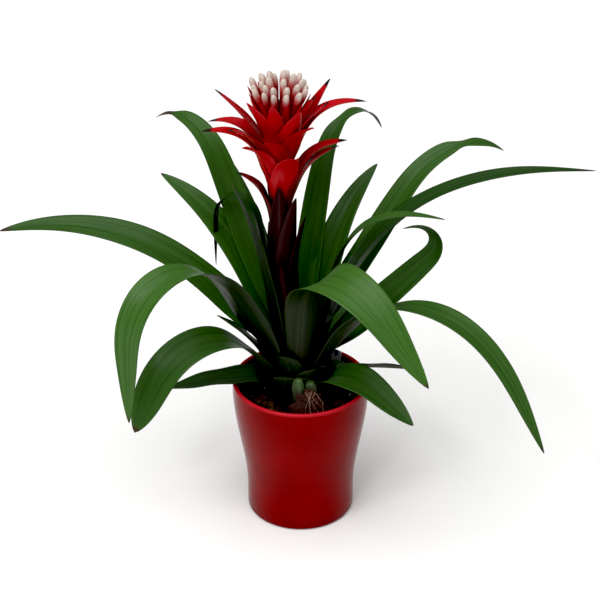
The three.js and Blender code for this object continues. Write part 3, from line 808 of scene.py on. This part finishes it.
pale_shoot, tree, shader = finish_material("pale_shoot", Roughness=0.5, IOR=1.42)
place = own_place(tree)
ribs = fibre_noise(tree, place, 0.1, 500.0, 4.0)
height = height_in(tree, place)
# painted shade: near-black low down, pale green only towards the top, so the shorter second shoot is darker
upper = between(tree, height, painted_shade_below, soil_top + shoot_height)
painted_shade_tone = ramp(tree, ribs, (0.35, (0.006, 0.008, 0.002)), (0.7, (0.018, 0.020, 0.006)))
high_tone = ramp(tree, ribs, (0.35, (0.02, 0.05, 0.012)), (0.7, (0.08, 0.14, 0.04)))
tree.links.new(blend_colours(tree, upper, painted_shade_tone, high_tone), shader.inputs["Base Color"])
bump(tree, shader, ribs, 0.0006, 0.6)


def young_shoot(name, x, y, radius, height, lean):
    """A blunt cone, folded into three, which leans back on the crown."""
    outline = [(0.0, 0.0), (0.7 * radius, 0.0)]
    for t in np.linspace(0, 1.53, 22):
        outline.append((radius * math.cos(t) ** 0.45, height * (0.1 + 0.88 * math.sin(t))))
    shoot = turned(name, [*outline, (0.0, height)], 40)
    for vertex in shoot.data.vertices:
        turn = math.atan2(vertex.co.y, vertex.co.x)
        rise = vertex.co.z / height
        fold = 1 + 0.08 * math.sin(3 * turn + 5 * rise)
        vertex.co.x *= fold
        vertex.co.y *= fold
    shoot.data.transform(Matrix.Translation((x, y, soil_top + 1.5 * MM)) @ Matrix.Rotation(-lean, 4, "X"))
    shoot.data.materials.append(pale_shoot)
    return shoot


shoot = young_shoot("young_shoot", -2 * MM, -41 * MM, 7.5 * MM, shoot_height, shoot_lean)
stands_for(shoot, "offset_shoot")
second = young_shoot("second_shoot", 10 * MM, -38 * MM, 8 * MM, shoot_height - 5 * MM, shoot_lean)
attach(second, "root")


# ---------------------------------------------------------------------------------------------
# Root strands. A matted, red-brown lump of the plant's own roots against the front of the crown,
# and fine, wiry feeding roots that have dried to a pinkish tan and spread from it over the mix.

lump_x, lump_y, lump_wide, lump_deep, lump_tall = (size * MM for size in (8, -43, 20, 9, 34))
draw = np.random.default_rng(5)
lump_profile = [(0.0, -0.2), *[(math.cos(t), math.sin(t)) for t in np.linspace(-0.1, 1.5, 26)], (0.0, 1.0)]
root_lump = turned("root_lump", lump_profile, 72)
for vertex in root_lump.data.vertices:
    spot = vertex.co.copy()
    grain = 1 + 0.16 * noise.fractal(spot * 5, 1.0, 2.0, 4)
    vertex.co = Vector((spot.x * lump_wide, spot.y * lump_deep, spot.z * lump_tall)) * grain
    vertex.co += Vector((lump_x, lump_y, soil_top))
root_mat = crumb_material("root_mat", (0.010, 0.004, 0.003), (0.065, 0.020, 0.014), 520.0, 0.85)
root_lump.data.materials.append(root_mat)
stands_for(root_lump, "root_strands")

curve = bpy.data.curves.new("fine_roots", "CURVE")
curve.dimensions = "3D"
curve.bevel_depth = 0.4 * MM
curve.bevel_resolution = 2
curve.use_fill_caps = True
root_steps, root_arch = 21, 4 * MM
root_ends = [(8, -52), (12, -50), (16, -51), (22, -50), (26, -48), (32, -42), (4, -50), (19, -46), (28, -40)]
for number, (end_x, end_y) in enumerate(root_ends):
    start = Vector((lump_x + (number % 4 - 1) * 3 * MM, lump_y - 2 * MM, soil_top + lump_tall))
    end = Vector((end_x * MM, end_y * MM, soil_top + MM))
    bend = Vector((draw.uniform(-5, 5), -5.0, 0)) * MM
    spline = curve.splines.new("POLY")
    spline.points.add(root_steps)
    for step, point in enumerate(spline.points):
        t = step / root_steps
        spot = start.lerp(end, t) + bend * math.sin(math.pi * t)
        spot += Vector((*draw.uniform(-0.7, 0.7, 2), draw.uniform(-0.3, 0.5))) * MM
        spot.z += root_arch * math.sin(math.pi * t)
        point.co = (*spot, 1.0)
        point.radius = 1.0 - 0.5 * t
rope = bpy.data.objects.new("fine_roots", curve)
bpy.context.scene.collection.objects.link(rope)
mesh = bpy.data.meshes.new_from_object(rope.evaluated_get(bpy.context.evaluated_depsgraph_get()))
bpy.data.objects.remove(rope)
roots = bpy.data.objects.new("dry_roots", mesh)
bpy.context.scene.collection.objects.link(roots)
roots.data.materials.clear()
dry_root = crumb_material("dry_root", (0.10, 0.05, 0.035), (0.28, 0.17, 0.12), 700.0, 0.75)
roots.data.materials.append(dry_root)
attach(roots, "root")


# ---------------------------------------------------------------------------------------------
# Flower stalk. A firm, solid stem, dark maroon and faintly ribbed, that leans a little to the left
# out of the heart of the rosette and then stands straight. It widens at its top under the florets.

stalk_start = 173.1 * MM
stalk_length = 247.4 * MM
stalk_radius, stalk_neck, stalk_head = 8 * MM, 7 * MM, 10.2 * MM
stalk_drift, drift_over = -15 * MM, 130 * MM


def up_the_stalk(points):
    """Moves points of the flower from the upright stalk to the one that drifts to the left."""
    drift = stalk_drift * ease(points[:, 2] / drift_over)
    return points + np.stack([axis_x + drift, np.zeros(len(points)), np.full(len(points), stalk_start)], 1)


def moved_up_the_stalk(thing):
    flat = np.empty(3 * len(thing.data.vertices))
    thing.data.vertices.foreach_get("co", flat)
    thing.data.vertices.foreach_set("co", up_the_stalk(flat.reshape(-1, 3)).ravel())
    return thing


stalk_profile = [(0.0, 0.0), (4 * MM, 0.0)]
for t in np.linspace(0, 1, 48):
    radius = stalk_radius + (stalk_neck - stalk_radius) * t
    stalk_profile.append((radius, (stalk_length - 12 * MM) * t + 0.4 * MM))
stalk_profile += [(stalk_radius, stalk_length - 8 * MM), (stalk_head, stalk_length - 3 * MM)]
stalk_profile += [(stalk_head - 0.4 * MM, stalk_length)]
stalk_profile += [(3 * MM, stalk_length), (0.0, stalk_length)]
stalk = moved_up_the_stalk(turned("leaning_stalk", stalk_profile, 36))
maroon_stalk, tree, shader = finish_material("maroon_stalk", Roughness=0.48, IOR=1.42)
place = own_place(tree)
ribs = fibre_noise(tree, place, 0.05, 420.0, 4.0)
maroon = ramp(tree, ribs, (0.35, (0.012, 0.004, 0.005)), (0.7, (0.05, 0.012, 0.014)))
tree.links.new(maroon, shader.inputs["Base Color"])
bump(tree, shader, ribs, 0.0006, 0.5)
stalk.data.materials.append(maroon_stalk)
stands_for(stalk, "flower_stalk")


# ---------------------------------------------------------------------------------------------
# Stem bracts. Small leaves that clasp the stalk one above another: olive and maroon, smooth, with
# pointed tips that stand a little away from it.

BRACT = {
    **LEAF, "x": 0, "thick": 1.1, "clasp": 50, "cup": 30, "taper": 1.7, "sheath": 18, "on_stalk": True,
    "channel": 0.5, "ripple": 0.5, "waves": 1.6, "dry": 0.93,
}


def bract(name, turn, height, radius, length, width, **bend):
    sizes = {"turn": turn, "height": height, "radius": radius, "length": length, "width": width}
    return name, {**BRACT, **sizes, **bend}


STEM_BRACTS = [
    bract("stem_bract_1", 270, 14, 9.4, 105, 32, rise=85, droop=6, at=0.6, over=0.8, cup=60, tone=0.0),
    bract("stem_bract_2", 120, 36, 9.4, 105, 30, rise=85, droop=6, at=0.6, over=0.8, cup=60, tone=0.1),
    bract("stem_bract_3", 350, 60, 9.4, 100, 32, rise=85, droop=8, at=0.6, over=0.8, cup=60, tone=0.1),
    bract("stem_bract_4", 305, 88, 9.4, 100, 34, rise=84, droop=8, at=0.6, over=0.8, cup=55, tone=0.2),
    bract("stem_bract_5", 268, 118, 9.4, 82, 30, rise=84, droop=10, at=0.6, over=0.8, cup=55, tone=0.35),
]


def bract_material(name, dark, bright, tip, roughness, coat):
    """A bract's skin: streaked from dark to bright by its tone, with a dark, drying point."""
    material, tree, shader = finish_material(
        name, Roughness=roughness, IOR=1.28, Coat_Weight=coat, Coat_Roughness=0.18
    )
    veins = strap_pattern(tree, 1700.0, 30.0, 2.0)
    streaks = strap_pattern(tree, 330.0, 14.0, 4.0)
    rising = between(tree, attribute(tree, "along"), 0.0, 0.6, 0.5)
    warm = maths(tree, "ADD", rising, attribute(tree, "tone"))
    mottled = maths(tree, "ADD", warm, streaks)
    skin = ramp(tree, mottled, (0.45, dark), (1.0, bright))
    vein_tone = tuple(0.6 * channel for channel in bright)
    skin = blend_colours(tree, grey(tree, veins, (0.42, 0.0), (0.62, 0.22)), skin, vein_tone)
    point = maths(tree, "ADD", attribute(tree, "dry"), streaks)
    skin = blend_colours(tree, grey(tree, point, (0.62, 0.0), (0.85, 1.0)), skin, tip)
    tree.links.new(skin, shader.inputs["Base Color"])
    gloss = grey(tree, streaks, (0.3, roughness - 0.08), (0.75, roughness + 0.1))
    tree.links.new(gloss, shader.inputs["Roughness"])
    broad = bump(tree, shader, streaks, 0.0008, 0.3)
    bump(tree, shader, veins, 0.0003, 0.5, broad)
    return material


maroon_bract = bract_material(
    "maroon_bract", (0.005, 0.004, 0.002), (0.024, 0.002, 0.004), (0.006, 0.003, 0.003), 0.45, 0.05
)
for name, blade in STEM_BRACTS:
    piece = blade_piece(name + "_skin", blade, rows=40)
    piece.data.materials.append(maroon_bract)
    stands_for(piece, name)


# ---------------------------------------------------------------------------------------------
# Head bracts. Stiff, glossy scarlet bracts in five rows round the florets, longest and most open
# low down, short and upright at the top. Most end in a fine, dark, slightly hooked point.

# height, radius, width and rise of each row, then the heading, length and droop of its bracts
HEAD_ROWS = [
    (154, 10.4, 30, 70,
     [(185, 62, 40), (345, 94, 40), (90, 84, 36)]),
    (172, 10.4, 33, 70,
     [(286, 90, 46), (182, 106, 74), (2, 90, 62), (232, 88, 46), (100, 86, 46)]),
    (193, 10.4, 31, 68,
     [(165, 95, 82), (8, 115, 74), (215, 88, 44), (305, 86, 40), (258, 80, 40), (80, 90, 40)]),
    (214, 10.4, 28, 58,
     [(185, 92, 14), (350, 70, 18), (25, 86, 2), (235, 84, 8), (290, 86, 8)]),
    (234, 18, 22, 60,
     [(262, 64, 4), (325, 56, 4)]),
]
scarlet_bract = bract_material(
    "scarlet_bract", (0.085, 0.002, 0.003), (0.43, 0.004, 0.008), (0.012, 0.004, 0.004), 0.38, 0.1
)
for level, (height, radius, width, rise, bracts) in enumerate(HEAD_ROWS, 1):
    for order, (turn, length, droop) in enumerate(bracts):
        inset = order % 2
        # the bracts that face forwards have kept their red points
        faces_forward = math.sin(math.radians(turn)) < -0.6
        name, blade = bract(
            f"head_bract_{level}_{order + 1}", turn, height + 7 * inset, radius - 1.6 * inset, length, width,
            rise=rise, droop=droop, at=0.65, over=0.7, dry=1.0 if faces_forward else 0.86,
            tone=-0.35 if level == 1 else 0.15 + 0.1 * level,
        )
        piece = blade_piece(name + "_skin", blade, rows=40)
        piece.data.materials.append(scarlet_bract)
        stands_for(piece, name)


# ---------------------------------------------------------------------------------------------
# Florets. Slim tubular flowers packed in three rings at the top of the stalk. Each stands in a
# small red bract of its own, and its three waxy petals close in a blunt white tip.


def bud_shape():
    """One floret of unit length: a narrow tube that swells to three closed petals."""
    outline = [(0.0, 0.0), (0.02, 0.0), (0.03, 0.04), (0.036, 0.2), (0.045, 0.45), (0.053, 0.62)]
    outline += [(0.060, 0.76), (0.062, 0.84), (0.058, 0.91), (0.046, 0.96), (0.027, 0.99), (0.0, 1.0)]
    bud = turned("bud", outline, 18)
    for vertex in bud.data.vertices:
        turn = math.atan2(vertex.co.y, vertex.co.x)
        lobe = 1 + 0.09 * math.cos(3 * turn) * float(ease((vertex.co.z - 0.5) / 0.3))
        vertex.co.x *= lobe
        vertex.co.y *= lobe
    return bud


def scale_shape():
    """The small pointed bract that each floret stands in, of unit length and leaning out a little."""
    _, blade = bract("scale", 0, 0, 3.2, 60, 15, rise=78, droop=-10, at=0.5, over=0.8)
    blade.update(on_stalk=False, thick=1.0, cup=40, dry=1.0, sheath=14, ripple=0.2)
    scale = blade_piece("scale", blade, rows=12, across=7)
    scale.data.transform(Matrix.Scale(1 / (60 * MM), 4))
    return scale


def ring_of_florets():
    tree, inputs, outputs = new_tree(
        "floret_ring", Bud="Object", Scale_bract="Object", Count="Int", Radius="Float", Height="Float",
        Lean="Float", Length="Float", Variation="Float", Seed="Int", Petal="Material", Scale_skin="Material",
    )
    ring = add(tree, "GeometryNodeMeshCircle", {"Vertices": inputs["Count"], "Radius": inputs["Radius"]})
    up = add(tree, "ShaderNodeCombineXYZ", {"Z": inputs["Height"]}).outputs["Vector"]
    spots = add(tree, "GeometryNodeSetPosition", {"Geometry": ring.outputs["Mesh"], "Offset": up})
    index = add(tree, "GeometryNodeInputIndex").outputs["Index"]
    share = maths(tree, "DIVIDE", index, inputs["Count"])
    heading = maths(tree, "MULTIPLY", share, 2 * math.pi)
    sway = at_random(tree, -0.06, 0.06, inputs["Seed"], ID=index)
    tilt = maths(tree, "ADD", inputs["Lean"], sway)
    turned_out = add(tree, "ShaderNodeCombineXYZ", {"Y": tilt, "Z": heading}).outputs["Vector"]
    least = maths(tree, "SUBTRACT", 1.0, inputs["Variation"])
    size = at_random(tree, least, 1.0, inputs["Seed"], ID=index)
    tall = maths(tree, "MULTIPLY", size, inputs["Length"])
    both = add(tree, "GeometryNodeJoinGeometry")
    for shape, share_of in (("Bud", 1.0), ("Scale bract", 0.86)):
        sized = maths(tree, "MULTIPLY", tall, share_of)
        placed = set_out(tree, spots.outputs["Geometry"], inputs[shape], turned_out, sized)
        tree.links.new(placed, both.inputs["Geometry"])
    real = add(tree, "GeometryNodeRealizeInstances", {"Geometry": both.outputs["Geometry"]})
    petals = coated(tree, real.outputs["Geometry"], inputs["Petal"])
    # only the small bracts have a tone
    tone = add(tree, "GeometryNodeInputNamedAttribute", {"Name": "tone"}, data_type="FLOAT")
    all_coated = coated(tree, petals, inputs["Scale skin"], Selection=tone.outputs["Attribute"])
    tree.links.new(all_coated, outputs["Geometry"])
    return tree


def reach_attribute(shape):
    """Stores how far up the unit shape each point is, for the petals' colour."""
    heights = [vertex.co.z for vertex in shape.data.vertices]
    shape.data.attributes.new("reach", "FLOAT", "POINT").data.foreach_set("value", heights)
    return shape


floret_foot = 248.7 * MM
waxy_petal, tree, shader = finish_material("waxy_petal", Roughness=0.5, IOR=1.36)
place = own_place(tree)
flecks = noise_on(tree, place, 600.0, 4.0)
spread = maths(tree, "MULTIPLY", flecks, 0.16)
reach = maths(tree, "ADD", attribute(tree, "reach"), spread)
petal = ramp(
    tree, reach, (0.76, (0.36, 0.005, 0.010)), (0.89, (0.52, 0.09, 0.09)), (0.96, (0.56, 0.34, 0.30)),
    (1.0, (0.56, 0.47, 0.41)),
)
tree.links.new(petal, shader.inputs["Base Color"])
bump(tree, shader, flecks, 0.0005, 0.35)

floret_tree = ring_of_florets()
bud = reach_attribute(bud_shape())
scale = scale_shape()
for name, count, radius, tilt, length, seed in (
    ("florets_inner", 5, 1.8, 9, 56, 3),
    ("florets_middle", 10, 4.9, 17, 53, 4),
    ("florets_outer", 14, 9, 22, 50, 8),
):
    ring = joined_mesh(name + "_flowers", [], [])
    grown(
        ring, floret_tree, Bud=bud, Scale_bract=scale, Count=count, Radius=radius * MM, Height=floret_foot,
        Lean=math.radians(tilt), Length=length * MM, Variation=0.1, Seed=seed, Petal=waxy_petal,
        Scale_skin=scarlet_bract,
    )
    stands_for(moved_up_the_stalk(ring), name)
for shape in (bud, scale):
    bpy.data.objects.remove(shape)


# ---------------------------------------------------------------------------------------------
# Studio. A plain pale floor, soft lights in front and above, and a long lens that looks down on the
# plant from the front.

floor_half = 6
floor_corners = [(x * floor_half, y * floor_half, 0) for x, y in ((-1, -1), (1, -1), (1, 1), (-1, 1))]
floor = joined_mesh("floor", floor_corners, [(0, 1, 2, 3)])
pale_floor, tree, shader = finish_material("pale_floor", Roughness=0.8)
shader.inputs["Base Color"].default_value = (0.94, 0.94, 0.93, 1.0)
floor.data.materials.append(pale_floor)

world = bpy.data.worlds.new("studio")
bpy.context.scene.world = world
world.use_nodes = True
world.node_tree.nodes["Background"].inputs["Color"].default_value = (1.0, 1.0, 1.0, 1.0)
world.node_tree.nodes["Background"].inputs["Strength"].default_value = 0.25


def soft_light(name, place, size, power, target=(0, 0, 0.25)):
    lamp = bpy.data.lights.new(name, "AREA")
    lamp.shape = "DISK"
    lamp.size = size
    lamp.energy = power
    lit = bpy.data.objects.new(name, lamp)
    lit.location = place
    lit.rotation_euler = (Vector(target) - Vector(place)).to_track_quat("-Z", "Y").to_euler()
    bpy.context.scene.collection.objects.link(lit)


soft_light("key", (-1.1, -1.2, 1.9), 0.7, 9)
soft_light("window", (-0.6, -1.6, 1.6), 0.2, 4.5)
soft_light("fill", (1.6, -1.0, 1.2), 1.2, 3)
daylight = bpy.data.lights.new("skylight", "SUN")
daylight.energy = 2.7
daylight.angle = math.radians(75)
sky = bpy.data.objects.new("skylight", daylight)
sky.rotation_euler = (math.radians(18), math.radians(-8), 0)
bpy.context.scene.collection.objects.link(sky)

look_down = 29.65
camera = bpy.data.objects.new("camera", bpy.data.cameras.new("camera"))
bpy.context.scene.collection.objects.link(camera)
camera.data.lens = 114
camera.data.sensor_width = 36
camera.location = (-0.0005, -1.611, 1.155)
camera.rotation_euler = (math.radians(90 - look_down), 0, 0)
bpy.context.scene.camera = camera
view = bpy.context.scene.view_settings
view.view_transform = "Standard"
# the deepest shadows go to black
view.use_curve_mapping = True
view.curve_mapping.black_level = (0.012, 0.012, 0.012)
view.curve_mapping.update()
